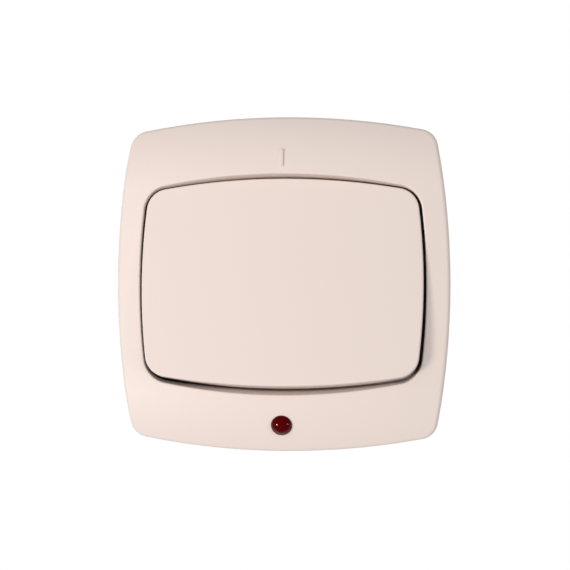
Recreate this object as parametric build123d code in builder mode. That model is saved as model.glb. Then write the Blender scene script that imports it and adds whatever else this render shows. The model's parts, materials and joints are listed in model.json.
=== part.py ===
from build123d import *
from math import asin, cos, degrees, radians, sin, sqrt, tan
import os

# Flush-mounted rocker light switch with an indicator lens, in millimetres.
# X runs to the right and Z up. The wall is the plane Y = 0 and the room lies towards -Y.
# Heights count from the wall towards the room, depths from the wall into its box.

os.makedirs("parts", exist_ok=True)

# Wall box, support plate and frame outline
BOX_SPACING = 60.0
BOX_SLOT_LENGTH = 7.0
BOX_SLOT_WIDTH = 4.2
BOX_SLOT_EDGE = 2.0
SUPPORT_THICK = 1.2
SUPPORT_CORNER = 9.0
SUPPORT_PLAY = 0.5
OVERSHOOT = 1.0
FRAME_OVERHANG = 5.0
FRAME_BULGE = 3.65
FRAME_CORNER = 4.6

# Domed front of the frame
FRAME_CREST = 10.4
FRAME_BOW = 200.0
FRAME_ROLL = 32.0
FRAME_WALL = 2.0
FRAME_EDGE = 1.1
FACING = 0.5

# Opening for the key, with its well and floor
SIDE_BAR = 5.7
END_BAR = 13.65
OPENING_SIDE_BULGE = 1.6
OPENING_END_BULGE = 3.1
OPENING_CORNER = 6.2
LIP_EDGE = 0.35
WELL_FLARE = 4.2
WELL_SIDE_LEAN = 0.1
WELL_END_LEAN = 1.15
WELL_WALL = 1.5
FLOOR_THICK = 1.2
FLOOR_LEDGE = 3.9
FLOOR_SIDE_LEDGE = 2.2
WINDOW_CORNER = 3.0

# Indicator lens and its lamp
LENS_RADIUS = 2.5
LENS_BALL = 3.0
LENS_DROP = 33.95
LENS_INNER = 5.35
LENS_OUTER = 6.55
LENS_ROLL = 9.95
LENS_STAND = 0.25
LENS_FLANGE = 0.8
LENS_FLANGE_LIP = 0.9
LENS_SEAT_DEPTH = 2.6
LENS_SEAT_WALL = 0.6
LENS_CORE = 1.6
LENS_FACE = 0.65
LAMP_RADIUS = 1.75
LAMP_LENGTH = 9.6
LAMP_HEIGHT = 3.1
LAMP_RISE = 1.2
LAMP_BEVEL = 0.5
PIP_RADIUS = 0.4
PIP_LENGTH = 0.5
RESISTOR_RADIUS = 1.1
RESISTOR_LENGTH = 6.4
RESISTOR_GAP = 0.35
LEAD_RADIUS = 0.6
LEAD_EASE = 0.45
LEAD_GAP = 0.7
LEAD_DEPTH = 6.5
LEAD_TURN_DEPTH = 5.0
LEAD_TURN_DOWN = 1.4
LEAD_BELOW = 7.0
LEAD_END = 0.9
LEAD_FIT = 0.15
LINK_RADIUS = 0.3
LINK_OUT = 1.3
LINK_ROOT = 0.5
HOLDER_MARGIN = 3.6
HOLDER_PLAY = 0.1
HOLDER_EDGE = 0.15
NOTCH_MARGIN = 0.3
GRIP = 1.0
GRIP_FRONT = 0.7
GRIP_BACK = 0.8
CRADLE_INSET = 1.2
CRADLE_THICK = 1.2
CRADLE_WALL = 0.95
CRADLE_LIP = 0.4

# Rocker key and its carrier
PIVOT_HEIGHT = 3.5
ROCK_ANGLE = 4.5
KEY_CREST = 7.5
KEY_RIM = 1.5
KEY_BOW = 300.0
KEY_WALL = 2.0
KEY_EDGE = 0.4
KEY_SIDE_GAP = 0.7
KEY_END_GAP = 1.42
KEY_SIDE_LEAN = 0.15
KEY_END_LEAN = 0.6
PAD_INSET = 2.0
PAD_WIDTH = 1.6
RIB_RISE = 1.6
RIB_OUT = 3.0
RIB_THICK = 1.4
CARRIER_PLATE_INSET = 0.7
CARRIER_PLATE_UP = 9.0
CARRIER_PLATE_THICK = 2.0
CARRIER_CORNER = 1.0
CARRIER_PAD = 0.7
CARRIER_HUB_UP = 6.5
CARRIER_HUB_BACK = 2.4
TRUNNION_RADIUS = 1.75
TRUNNION_FIT = 0.06
TRUNNION_SHORT = 0.3
EAR_THICK = 3.0
EAR_WALL = 1.65
EAR_ROOT = 0.5
EAR_ROOM = 1.1
EAR_INSET = 1.5
SIDE_PLAY = 0.2
LEG_THICK = 1.4
LEG_HALF = 6.0
HOOK = 0.6
HOOK_THICK = 1.3
HOOK_ROOT = 0.2
SNAP_FIT = 0.1

# Plunger, its spring and the see-saw contact
BORE_RADIUS = 2.05
BORE_WALL = 1.15
BORE_END = 8.0
BORE_TOP = 1.2
PLUNGER_FIT = 0.1
PLUNGER_REACH = 10.2
PLUNGER_HEAD = 4.6
PEG_RADIUS = 0.9
PEG_LENGTH = 1.2
SPRING_RADIUS = 1.5
SPRING_WIRE = 0.25
SPRING_TURNS = 4.5
SPRING_SEAT = 0.02
SEESAW_ANGLE = 6.0
SEESAW_HALF = 10.0
SEESAW_HALF_WIDTH = 2.4
SEESAW_THICK = 1.4
SEESAW_PLAY = 0.06
KNIFE_PLAY = 0.02
KNIFE_FOOT = 1.2
KNIFE_RADIUS = 0.25
FOOT_HALF = 2.5
TIP_REACH = 8.2
TIP_RADIUS = 1.4
TIP_BALL = 3.0
TIP_THICK = 0.6
TIP_MARGIN = 0.4
CONTACT_GAP = 0.1
FIXED_TIP_THICK = 0.5
FIXED_HALF = 2.5
STRIP_THICK = 0.8
STRIP_WIDTH = 3.0
STRIP_GAP = 0.6
STRIP_FIT = 0.1
TAIL_HALF = 2.0
STOP_INSET = 2.0
STOP_HALF = 1.5
STOP_GAP = 0.2

# Base and terminals
BASE_HALF_X = 20.5
BASE_HALF_Z = 16.0
BASE_CORNER = 3.0
BASE_EDGE = 0.8
BASE_WALL = 1.6
PARTITION = 1.35
CHAMBER_WALL = 2.5
CHAMBER_CORNER = 1.5
POCKET_WALL = 0.85
BLOCK_WIDTH = 5.5
BLOCK_HEIGHT = 8.8
BLOCK_DEPTH = 7.2
POCKET_FIT = 0.1
WIRE_RADIUS = 1.6
WIRE_ENTRY = 1.9
CLAMP_RADIUS = 1.3
CLAMP_HEAD = 2.3
CLAMP_HEAD_THICK = 1.5
CLAMP_LIFT = 0.4
CLAMP_COVER = 0.4
CLAMP_GAP = 0.1
CELL = 6.6
CELL_RIB = 1.4
CELL_DEPTH = 6.5

# Fasteners and the tabs that hold the base
SCREW_FIT = 0.05
SCREW_CLEARANCE = 0.25
FRAME_SCREW_GAP = 3.5
FRAME_SCREW_RADIUS = 1.45
FRAME_SCREW_LENGTH = 9.0
FRAME_SCREW_HEAD = 2.7
FRAME_SCREW_HEAD_THICK = 1.7
COLLAR_WALL = 0.8
COLLAR_DEPTH = 2.0
DRIVE_SLOT = 0.7
DRIVE_DEPTH = 0.8
TAB_X = 8.0
TAB_WIDTH = 6.0
TAB_REACH = 8.0
TAB_LIP = 0.75
TAB_FIT = 0.2

# Spreading claws and their screws
CLAW_PIVOT_INSET = 1.9
CLAW_PIVOT_DEPTH = 6.0
CLAW_EYE = 1.5
CLAW_PIN = 1.0
CLAW_PIN_LENGTH = 2.4
CLAW_PIN_END = 0.3
CLAW_THICK = 1.2
CLAW_HALF = 6.0
CLAW_RECESS = 3.6
CLAW_ROOM = 1.0
CLAW_SWING = 25.0
CLAW_SLOPE = 31.0
CLAW_ARM = 9.4
CLAW_LENGTH = 9.0
CLAW_BEND = 1.0
CLAW_TOOTH = 2.0
CLAW_FLARE = 1.2
CLAW_NOTCH = 1.6
CLAW_SLOT_PLAY = 0.3
CLAW_SCREW_OUT = 4.9
CLAW_SCREW_RADIUS = 1.5
CLAW_SCREW_HEAD = 2.6
CLAW_SCREW_HEAD_THICK = 1.8
CLAW_SCREW_LENGTH = 19.0

# Sizes that follow from these
SUPPORT_SIDE = BOX_SPACING + BOX_SLOT_LENGTH + 2 * BOX_SLOT_EDGE
FRAME_SIDE = 2 * max(SUPPORT_SIDE / 2 + FRAME_OVERHANG, LENS_DROP + LENS_OUTER)
FRAME_STRAIGHT = LENS_DROP - LENS_ROLL
OPENING_WIDTH = FRAME_SIDE - 2 * SIDE_BAR
OPENING_HEIGHT = 2 * min(FRAME_SIDE / 2 - END_BAR, LENS_DROP - LENS_INNER)
FLOOR_TOP = SUPPORT_THICK + FLOOR_THICK
TILT = radians(SEESAW_ANGLE)
LENS_SLOPE = asin((LENS_DROP - FRAME_STRAIGHT) / FRAME_ROLL)
LENS_HEIGHT = FRAME_CREST - FRAME_ROLL * (1 - cos(LENS_SLOPE))
PLUNGER_RADIUS = BORE_RADIUS - PLUNGER_FIT
SEESAW_HEIGHT = PIVOT_HEIGHT - PLUNGER_REACH - PLUNGER_RADIUS - SEESAW_PLAY - SEESAW_THICK / 2
SEESAW_BACK = SEESAW_THICK / 2
TIP_BACK = SEESAW_BACK + TIP_THICK
FIXED_FRONT = SEESAW_HEIGHT - TIP_REACH * sin(TILT) - TIP_BACK * cos(TILT) - CONTACT_GAP
FIXED_UP = -TIP_REACH * cos(TILT) + TIP_BACK * sin(TILT)
STRIP_FRONT = FIXED_FRONT - FIXED_TIP_THICK
CHAMBER_FLOOR = STRIP_FRONT - STRIP_THICK
BLOCK_REAR = CHAMBER_FLOOR - BLOCK_DEPTH
BASE_REAR = BLOCK_REAR - CLAMP_LIFT - CLAMP_HEAD_THICK - CLAMP_COVER
WIRE_HEIGHT = CHAMBER_FLOOR - BLOCK_DEPTH / 2
CLAW_PIVOT_X = BASE_HALF_X - CLAW_PIVOT_INSET
CLAW_SCREW_X = CLAW_PIVOT_X + CLAW_SCREW_OUT
POCKET_X = BASE_HALF_X - CLAW_RECESS - POCKET_WALL - POCKET_FIT - BLOCK_WIDTH / 2
BLOCK_DROP = BASE_HALF_Z - BASE_WALL - POCKET_FIT - BLOCK_HEIGHT / 2
CHAMBER_HALF_X = POCKET_X - BLOCK_WIDTH / 2 - POCKET_FIT - PARTITION
CHAMBER_HALF_Z = BASE_HALF_Z - CHAMBER_WALL
SUPPORT_WINDOW_UP = CHAMBER_HALF_Z - CHAMBER_CORNER
FRAME_SCREW_UP = BASE_HALF_Z + FRAME_SCREW_GAP
EAR_INNER = BASE_HALF_X - CLAW_RECESS - EAR_INSET - EAR_THICK
CARRIER_HALF = EAR_INNER - SIDE_PLAY
CARRIER_PLATE_X = CARRIER_HALF - CARRIER_PLATE_INSET
EAR_RADIUS = TRUNNION_RADIUS + TRUNNION_FIT + EAR_WALL
PLATE_FRONT = KEY_CREST - KEY_WALL - CARRIER_PAD
PLATE_BACK = PLATE_FRONT - CARRIER_PLATE_THICK
LAMP_DOWN = LENS_DROP - LAMP_RISE
LEAD_X = SEESAW_HALF_WIDTH + LEAD_RADIUS + LEAD_GAP
NOTCH_TOP = OPENING_HEIGHT / 2 + WELL_WALL + NOTCH_MARGIN + GRIP
HOLDER_HALF = LAMP_LENGTH / 2 + HOLDER_MARGIN
HOLDER_FRONT = SUPPORT_THICK - HOLDER_PLAY
NOTCH_HALF = HOLDER_HALF + 2 * (LEAD_RADIUS + LEAD_GAP)
LEAD_OUT = HOLDER_HALF + LEAD_RADIUS + LEAD_GAP
RESISTOR_DOWN = LAMP_DOWN + LAMP_RADIUS + RESISTOR_RADIUS + RESISTOR_GAP
RESISTOR_HEIGHT = HOLDER_FRONT + RESISTOR_RADIUS + HOLDER_PLAY
CRADLE_X = LAMP_LENGTH / 2 - CRADLE_INSET
LEG_INNER = SEESAW_HALF_WIDTH + STRIP_GAP
LEG_OUTER = LEG_INNER + STRIP_WIDTH
TAIL_END = POCKET_X + BLOCK_WIDTH / 2
TAIL_LOW = BLOCK_DROP + TAIL_HALF
TAIL_TOP = BLOCK_DROP - TAIL_HALF

wall = Plane.XZ
tilted = wall.offset(PIVOT_HEIGHT).rotated((-ROCK_ANGLE, 0, 0))
rocking = wall.offset(SEESAW_HEIGHT).rotated((SEESAW_ANGLE, 0, 0))
right = Vector(1, 0, 0)


def level(height):
    """Plane parallel to the wall at this height."""
    return wall.offset(height)


def side_of(plane):
    """Plane across X through a plane's origin: local x runs up it, local y out of it."""
    return Plane(origin=plane.origin, x_dir=plane.y_dir, z_dir=right)


def barrel(width, height, side_bulge, end_bulge, corner):
    """Face with four bowed sides and rounded corners, in the open sketch."""
    x = width / 2 - side_bulge
    y = height / 2 - end_bulge
    with BuildLine(mode=Mode.PRIVATE) as outline:
        ThreePointArc((-x, y), (0, height / 2), (x, y))
        ThreePointArc((x, y), (width / 2, 0), (x, -y))
        ThreePointArc((x, -y), (0, -height / 2), (-x, -y))
        ThreePointArc((-x, -y), (-width / 2, 0), (-x, y))
    make_face(outline.edges())
    fillet(vertices(), corner)


def dome(inset):
    """Large solid of revolution whose rim is the frame's front, set in by a wall."""
    axis_y = FRAME_BOW - FRAME_CREST
    section = Plane(origin=(0, axis_y, 0), x_dir=(0, 1, 0), z_dir=(1, 0, 0))
    rim = FRAME_BOW - inset
    roll = FRAME_ROLL - inset
    spread = degrees(asin((FRAME_SIDE / 2 + OVERSHOOT - inset - FRAME_STRAIGHT) / roll))
    with BuildPart() as body:
        with BuildSketch(section):
            with BuildLine():
                Line((rim, -FRAME_STRAIGHT), (rim, FRAME_STRAIGHT))
                top = CenterArc((rim - roll, FRAME_STRAIGHT), roll, 0, spread)
                low = CenterArc((rim - roll, -FRAME_STRAIGHT), roll, -spread, spread)
                Polyline(top @ 1, (0, (top @ 1).Y), (0, (low @ 0).Y), low @ 0)
            make_face()
        revolve(axis=Axis((0, axis_y, 0), (0, 0, 1)))
    return body.part


def front_edges():
    """Edges around the front of the frame that is being built."""
    front = [f for f in faces() if f.normal_at().Y < -FACING and -f.center().Y > FLOOR_TOP + OVERSHOOT]
    every = [edge for face in front for edge in face.edges()]
    return [e for e in every if sum(e.is_same(other) for other in every) == 1]


def at_opening(edge):
    """Whether an edge of the frame's front lies around the key."""
    beside = abs(edge.center().X) < OPENING_WIDTH / 2 + OVERSHOOT
    return beside and abs(edge.center().Z) < OPENING_HEIGHT / 2 + OVERSHOOT


def screws(seat, spots, shank, length, head, head_thick):
    """Slotted screws: heads on the seat plane, shanks behind it."""
    with BuildPart() as body:
        with BuildSketch(seat):
            with Locations(*spots):
                Circle(head)
        extrude(amount=head_thick)
        crowns = edges().filter_by(GeomType.CIRCLE).group_by(Axis(seat.origin, seat.z_dir))[-1]
        fillet(crowns, head_thick / 3)
        with BuildSketch(seat):
            with Locations(*spots):
                Circle(shank)
        extrude(amount=-length)
        with BuildSketch(seat.offset(head_thick)):
            with Locations(*spots):
                Rectangle(3 * head, DRIVE_SLOT)
        extrude(amount=-DRIVE_DEPTH, mode=Mode.SUBTRACT)
    return body.part


# Plane of the indicator lens: its normal is the frame's surface normal
lens_seat = Plane(
    origin=(0, -LENS_HEIGHT, -LENS_DROP),
    x_dir=(1, 0, 0),
    z_dir=(0, -cos(LENS_SLOPE), -sin(LENS_SLOPE)),
)

# Cover frame
with BuildPart() as frame_hollow:
    with BuildSketch(wall):
        inner_side = FRAME_SIDE - 2 * FRAME_WALL
        barrel(inner_side, inner_side, FRAME_BULGE, FRAME_BULGE, FRAME_CORNER - FRAME_WALL / 2)
    extrude(amount=FRAME_CREST)
    add(dome(FRAME_WALL), mode=Mode.INTERSECT)
    with BuildSketch(wall):
        barrel(
            OPENING_WIDTH + 2 * WELL_WALL,
            OPENING_HEIGHT + 2 * WELL_WALL,
            OPENING_SIDE_BULGE,
            OPENING_END_BULGE,
            OPENING_CORNER + WELL_WALL,
        )
    extrude(amount=FRAME_CREST, mode=Mode.SUBTRACT)
    with BuildSketch(lens_seat.offset(-LENS_SEAT_DEPTH)):
        Circle(LENS_RADIUS + LENS_FLANGE_LIP + LENS_SEAT_WALL)
    extrude(amount=LENS_SEAT_DEPTH, mode=Mode.SUBTRACT)

# Well of the key: straight from its floor to the throat, then flaring to the front
with BuildPart() as well:
    with BuildSketch(level(FRAME_CREST - WELL_FLARE)) as throat:
        barrel(
            OPENING_WIDTH - 2 * WELL_SIDE_LEAN,
            OPENING_HEIGHT - 2 * WELL_END_LEAN,
            OPENING_SIDE_BULGE,
            OPENING_END_BULGE,
            OPENING_CORNER - WELL_SIDE_LEAN,
        )
    with BuildSketch(level(FRAME_CREST + OVERSHOOT)):
        barrel(OPENING_WIDTH, OPENING_HEIGHT, OPENING_SIDE_BULGE, OPENING_END_BULGE, OPENING_CORNER)
    loft(ruled=True)
    extrude(throat.sketch, amount=FLOOR_TOP + WELL_FLARE - FRAME_CREST)

with BuildPart() as cover_frame:
    with BuildSketch(wall):
        barrel(FRAME_SIDE, FRAME_SIDE, FRAME_BULGE, FRAME_BULGE, FRAME_CORNER)
    extrude(amount=FRAME_CREST + OVERSHOOT)
    add(dome(0), mode=Mode.INTERSECT)
    add(well.part, mode=Mode.SUBTRACT)
    fillet([e for e in front_edges() if not at_opening(e)], FRAME_EDGE)
    fillet([e for e in front_edges() if at_opening(e)], LIP_EDGE)
    add(frame_hollow.part, mode=Mode.SUBTRACT)
    with BuildSketch(wall):
        recess = SUPPORT_SIDE + 2 * SUPPORT_PLAY
        RectangleRounded(recess, recess, SUPPORT_CORNER)
    extrude(amount=SUPPORT_THICK, mode=Mode.SUBTRACT)
    with BuildSketch(wall):
        window_x = OPENING_WIDTH - 2 * FLOOR_SIDE_LEDGE
        window_z = 2 * (FRAME_SCREW_UP - FLOOR_LEDGE)
        RectangleRounded(window_x, window_z, WINDOW_CORNER)
        with Locations((0, FRAME_SCREW_UP), (0, -FRAME_SCREW_UP)):
            Circle(FRAME_SCREW_RADIUS + SCREW_CLEARANCE)
    extrude(amount=FLOOR_TOP + OVERSHOOT, mode=Mode.SUBTRACT)
    with BuildSketch(lens_seat.offset(-LENS_SEAT_DEPTH - OVERSHOOT)):
        Circle(LENS_RADIUS + SCREW_FIT)
    extrude(amount=LENS_SEAT_DEPTH + 2 * OVERSHOOT, mode=Mode.SUBTRACT)

# Indicator lens: a domed cap with a flange behind the frame's wall
with BuildPart() as indicator_lens:
    with BuildSketch(Plane(origin=lens_seat.origin, x_dir=lens_seat.x_dir, z_dir=-lens_seat.y_dir)):
        flange = LENS_RADIUS + LENS_FLANGE_LIP
        rise = LENS_BALL - sqrt(LENS_BALL**2 - LENS_RADIUS**2)
        half = LENS_BALL - sqrt(LENS_BALL**2 - (LENS_RADIUS / 2) ** 2)
        peak = LENS_STAND + rise
        with BuildLine():
            ThreePointArc((0, peak), (LENS_RADIUS / 2, peak - half), (LENS_RADIUS, LENS_STAND))
            Polyline(
                (LENS_RADIUS, LENS_STAND),
                (LENS_RADIUS, -LENS_SEAT_DEPTH),
                (flange, -LENS_SEAT_DEPTH),
                (flange, -LENS_SEAT_DEPTH - LENS_FLANGE),
                (LENS_CORE, -LENS_SEAT_DEPTH - LENS_FLANGE),
                (LENS_CORE, -LENS_FACE),
                (0, -LENS_FACE),
                (0, peak),
            )
        make_face()
    revolve(axis=Axis(lens_seat.origin, lens_seat.z_dir))

# Frame screws, under the key
frame_screws = screws(
    level(FLOOR_TOP),
    [(0, FRAME_SCREW_UP), (0, -FRAME_SCREW_UP)],
    FRAME_SCREW_RADIUS,
    FRAME_SCREW_LENGTH,
    FRAME_SCREW_HEAD,
    FRAME_SCREW_HEAD_THICK,
)


# Rocker key
def key_shell(inset, bow):
    """Key-shaped solid from the rim to the bowed front, set in by a wall."""
    with BuildPart() as body:
        with BuildSketch(tilted.offset(KEY_RIM)):
            barrel(
                OPENING_WIDTH - 2 * KEY_SIDE_GAP - 2 * inset,
                OPENING_HEIGHT - 2 * KEY_END_GAP - 2 * inset,
                OPENING_SIDE_BULGE,
                OPENING_END_BULGE,
                OPENING_CORNER - KEY_SIDE_GAP - inset / 2,
            )
        with BuildSketch(tilted.offset(KEY_CREST + OVERSHOOT)):
            barrel(
                OPENING_WIDTH - 2 * (KEY_SIDE_GAP + KEY_SIDE_LEAN) - 2 * inset,
                OPENING_HEIGHT - 2 * (KEY_END_GAP + KEY_END_LEAN) - 2 * inset,
                OPENING_SIDE_BULGE,
                OPENING_END_BULGE,
                OPENING_CORNER - KEY_SIDE_GAP - KEY_SIDE_LEAN - inset / 2,
            )
        loft(ruled=True)
        across = Plane(origin=tilted.origin, x_dir=tilted.x_dir, z_dir=tilted.y_dir)
        with BuildSketch(across):
            with Locations((0, KEY_BOW - KEY_CREST)):
                Circle(bow)
        extrude(amount=OPENING_HEIGHT, both=True, mode=Mode.INTERSECT)
    return body.part


with BuildPart() as rocker_key:
    add(key_shell(0, KEY_BOW))
    front = faces().sort_by(Axis(tilted.origin, tilted.z_dir))[-1]
    fillet(front.edges(), KEY_EDGE)
    add(key_shell(KEY_WALL, KEY_BOW - KEY_WALL), mode=Mode.SUBTRACT)
    # Pads that rest on the carrier
    with BuildSketch(tilted.offset(PLATE_FRONT)):
        with GridLocations(2 * (CARRIER_PLATE_X - PAD_INSET), 0, 2, 1):
            Rectangle(PAD_WIDTH, 2 * (CARRIER_PLATE_UP - PAD_INSET))
    extrude(amount=KEY_CREST - KEY_WALL / 2 - PLATE_FRONT)
    # Snap legs with hooks behind the carrier's plate
    leg_foot = PLATE_BACK - SNAP_FIT - HOOK_THICK
    leg_up = CARRIER_PLATE_UP + SNAP_FIT + LEG_THICK / 2
    with BuildSketch(tilted.offset(leg_foot)):
        with GridLocations(0, 2 * leg_up, 1, 2):
            Rectangle(2 * LEG_HALF, LEG_THICK)
    extrude(amount=KEY_CREST - KEY_WALL / 2 - leg_foot)
    hook = HOOK + SNAP_FIT + HOOK_ROOT
    hook_up = CARRIER_PLATE_UP + SNAP_FIT + HOOK_ROOT - hook / 2
    with BuildSketch(tilted.offset(leg_foot)):
        with GridLocations(0, 2 * hook_up, 1, 2):
            Rectangle(2 * LEG_HALF, hook)
    extrude(amount=HOOK_THICK)
    # Stiffening ribs across the shell
    rib_x = EAR_INNER + EAR_THICK + RIB_OUT
    rib_top = KEY_CREST - KEY_WALL / 2 - rib_x**2 / (2 * KEY_BOW)
    rib_end = OPENING_END_BULGE * (2 * rib_x / OPENING_WIDTH) ** 2 + KEY_END_GAP + KEY_WALL / 2
    with BuildSketch(tilted.offset(KEY_RIM + RIB_RISE)):
        with GridLocations(2 * rib_x, 0, 2, 1):
            Rectangle(RIB_THICK, OPENING_HEIGHT - 2 * rib_end)
    extrude(amount=rib_top - KEY_RIM - RIB_RISE)

# Rocker carrier: hub with trunnions, front plate and plunger tube
with BuildPart() as rocker_carrier:
    with BuildSketch(tilted.offset(-CARRIER_HUB_BACK)):
        Rectangle(2 * CARRIER_HALF, 2 * CARRIER_HUB_UP)
    extrude(amount=CARRIER_HUB_BACK + PLATE_BACK)
    with BuildSketch(tilted.offset(PLATE_BACK)):
        RectangleRounded(2 * CARRIER_PLATE_X, 2 * CARRIER_PLATE_UP, CARRIER_CORNER)
    extrude(amount=CARRIER_PLATE_THICK)
    with BuildSketch(side_of(tilted)):
        Circle(TRUNNION_RADIUS)
    extrude(amount=EAR_INNER + EAR_THICK - TRUNNION_SHORT, both=True)
    with BuildSketch(tilted.offset(-BORE_END)):
        Circle(BORE_RADIUS + BORE_WALL)
    extrude(amount=BORE_END)
    with BuildSketch(tilted.offset(-BORE_END)):
        Circle(BORE_RADIUS)
    extrude(amount=BORE_END + BORE_TOP, mode=Mode.SUBTRACT)

# Contact plunger with a round tip and a peg for its spring
with BuildPart() as contact_plunger:
    with BuildSketch(side_of(tilted)):
        with BuildLine():
            Line((0, PEG_LENGTH - PLUNGER_HEAD), (PEG_RADIUS, PEG_LENGTH - PLUNGER_HEAD))
            Line((PEG_RADIUS, PEG_LENGTH - PLUNGER_HEAD), (PEG_RADIUS, -PLUNGER_HEAD))
            Line((PEG_RADIUS, -PLUNGER_HEAD), (PLUNGER_RADIUS, -PLUNGER_HEAD))
            Line((PLUNGER_RADIUS, -PLUNGER_HEAD), (PLUNGER_RADIUS, -PLUNGER_REACH))
            CenterArc((0, -PLUNGER_REACH), PLUNGER_RADIUS, -90, 90)
            Line((0, -PLUNGER_REACH - PLUNGER_RADIUS), (0, PEG_LENGTH - PLUNGER_HEAD))
        make_face()
    revolve(axis=Axis(tilted.origin, tilted.z_dir))

# Plunger spring
with BuildPart() as plunger_spring:
    coil_start = -PLUNGER_HEAD + SPRING_WIRE + SPRING_SEAT
    coil_height = BORE_TOP - SPRING_WIRE - SPRING_SEAT - coil_start
    with BuildLine() as coil:
        Helix(
            pitch=coil_height / SPRING_TURNS,
            height=coil_height,
            radius=SPRING_RADIUS,
            center=tilted.offset(coil_start).origin,
            direction=tilted.z_dir,
        )
    with BuildSketch(Plane(origin=coil.line @ 0, z_dir=coil.line % 0)):
        Circle(SPRING_WIRE)
    sweep(path=coil.line, is_frenet=True)

# See-saw contact with a groove for the rounded knife edge
with BuildPart() as seesaw_contact:
    with BuildSketch(side_of(rocking)):
        Rectangle(2 * SEESAW_HALF, SEESAW_THICK)
        shoulder = (KNIFE_RADIUS + KNIFE_PLAY) / sqrt(2)
        mouth = SEESAW_THICK + 2 * shoulder
        with BuildLine(mode=Mode.PRIVATE) as groove:
            Polyline(
                (-mouth, -SEESAW_THICK),
                (-shoulder, shoulder),
                (shoulder, shoulder),
                (mouth, -SEESAW_THICK),
                close=True,
            )
        make_face(groove.edges(), mode=Mode.SUBTRACT)
        Circle(KNIFE_RADIUS + KNIFE_PLAY, mode=Mode.SUBTRACT)
    extrude(amount=SEESAW_HALF_WIDTH, both=True)

# Silver tip on the see-saw's lower arm
with BuildPart() as seesaw_tip:
    tip_plane = Plane(
        origin=rocking.origin - rocking.y_dir * TIP_REACH,
        x_dir=right,
        z_dir=rocking.y_dir,
    )
    cap = TIP_BALL - sqrt(TIP_BALL**2 - TIP_RADIUS**2)
    mid = TIP_BALL - sqrt(TIP_BALL**2 - (TIP_RADIUS / 2) ** 2)
    with BuildSketch(tip_plane):
        with BuildLine():
            Polyline(
                (0, TIP_BACK),
                (0, SEESAW_BACK),
                (TIP_RADIUS, SEESAW_BACK),
                (TIP_RADIUS, TIP_BACK - cap),
            )
            ThreePointArc((TIP_RADIUS, TIP_BACK - cap), (TIP_RADIUS / 2, TIP_BACK - mid), (0, TIP_BACK))
        make_face()
    revolve(axis=Axis(tip_plane.origin, tip_plane.y_dir))

# Pivot contact: knife edge, and a strip to the left terminal
with BuildPart() as pivot_contact:
    with BuildSketch(level(CHAMBER_FLOOR)):
        with BuildLine():
            Polyline(
                (SEESAW_HALF_WIDTH, FOOT_HALF),
                (-LEG_OUTER, FOOT_HALF),
                (-LEG_OUTER, -TAIL_TOP),
                (-TAIL_END, -TAIL_TOP),
                (-TAIL_END, -TAIL_LOW),
                (-LEG_INNER, -TAIL_LOW),
                (-LEG_INNER, -FOOT_HALF),
                (SEESAW_HALF_WIDTH, -FOOT_HALF),
                close=True,
            )
        make_face()
    extrude(amount=STRIP_THICK)
    with BuildSketch(side_of(level(SEESAW_HEIGHT))):
        foot = STRIP_FRONT - STRIP_THICK / 2 - SEESAW_HEIGHT
        with BuildLine():
            Polyline(
                (-KNIFE_FOOT, foot),
                (KNIFE_FOOT, foot),
                (KNIFE_RADIUS, 0),
                (-KNIFE_RADIUS, 0),
                close=True,
            )
        make_face()
        Circle(KNIFE_RADIUS)
    extrude(amount=SEESAW_HALF_WIDTH, both=True)

# Fixed contact strip to the right terminal, and its silver tip
with BuildPart() as fixed_contact:
    fixed_start = TIP_RADIUS + TIP_MARGIN
    with BuildSketch(level(CHAMBER_FLOOR)):
        with Locations(((TAIL_END - fixed_start) / 2, FIXED_UP)):
            Rectangle(TAIL_END + fixed_start, 2 * FIXED_HALF)
    extrude(amount=STRIP_THICK)

with BuildPart() as fixed_tip:
    with BuildSketch(level(STRIP_FRONT)):
        with Locations((0, FIXED_UP)):
            Circle(TIP_RADIUS)
    extrude(amount=FIXED_TIP_THICK)


# Terminal blocks with a wire bore along Z and a clamping hole from behind
def terminal_block(side):
    """Brass block on one side."""
    with BuildPart() as block:
        with BuildSketch(level(BLOCK_REAR)):
            with Locations((side * POCKET_X, -BLOCK_DROP)):
                Rectangle(BLOCK_WIDTH, BLOCK_HEIGHT)
        extrude(amount=BLOCK_DEPTH)
        with BuildSketch(level(BLOCK_REAR)):
            with Locations((side * POCKET_X, -BLOCK_DROP)):
                Circle(CLAMP_RADIUS + SCREW_FIT)
        extrude(amount=BLOCK_DEPTH / 2, mode=Mode.SUBTRACT)
        with BuildSketch(Plane.XY.offset(-BLOCK_DROP - BLOCK_HEIGHT / 2)):
            with Locations((side * POCKET_X, -WIRE_HEIGHT)):
                Circle(WIRE_RADIUS)
        extrude(amount=BLOCK_HEIGHT, mode=Mode.SUBTRACT)
    return block.part


terminal_block_left = terminal_block(-1)
terminal_block_right = terminal_block(1)

# Clamping screws, opened so that their ends stand just clear of the wire bores
clamp_seat = BLOCK_REAR - CLAMP_LIFT
terminal_screws = screws(
    Plane(origin=level(clamp_seat).origin, x_dir=right, z_dir=-wall.z_dir),
    [(POCKET_X, BLOCK_DROP), (-POCKET_X, BLOCK_DROP)],
    CLAMP_RADIUS,
    WIRE_HEIGHT - WIRE_RADIUS - CLAMP_GAP - clamp_seat,
    CLAMP_HEAD,
    CLAMP_HEAD_THICK,
)

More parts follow.
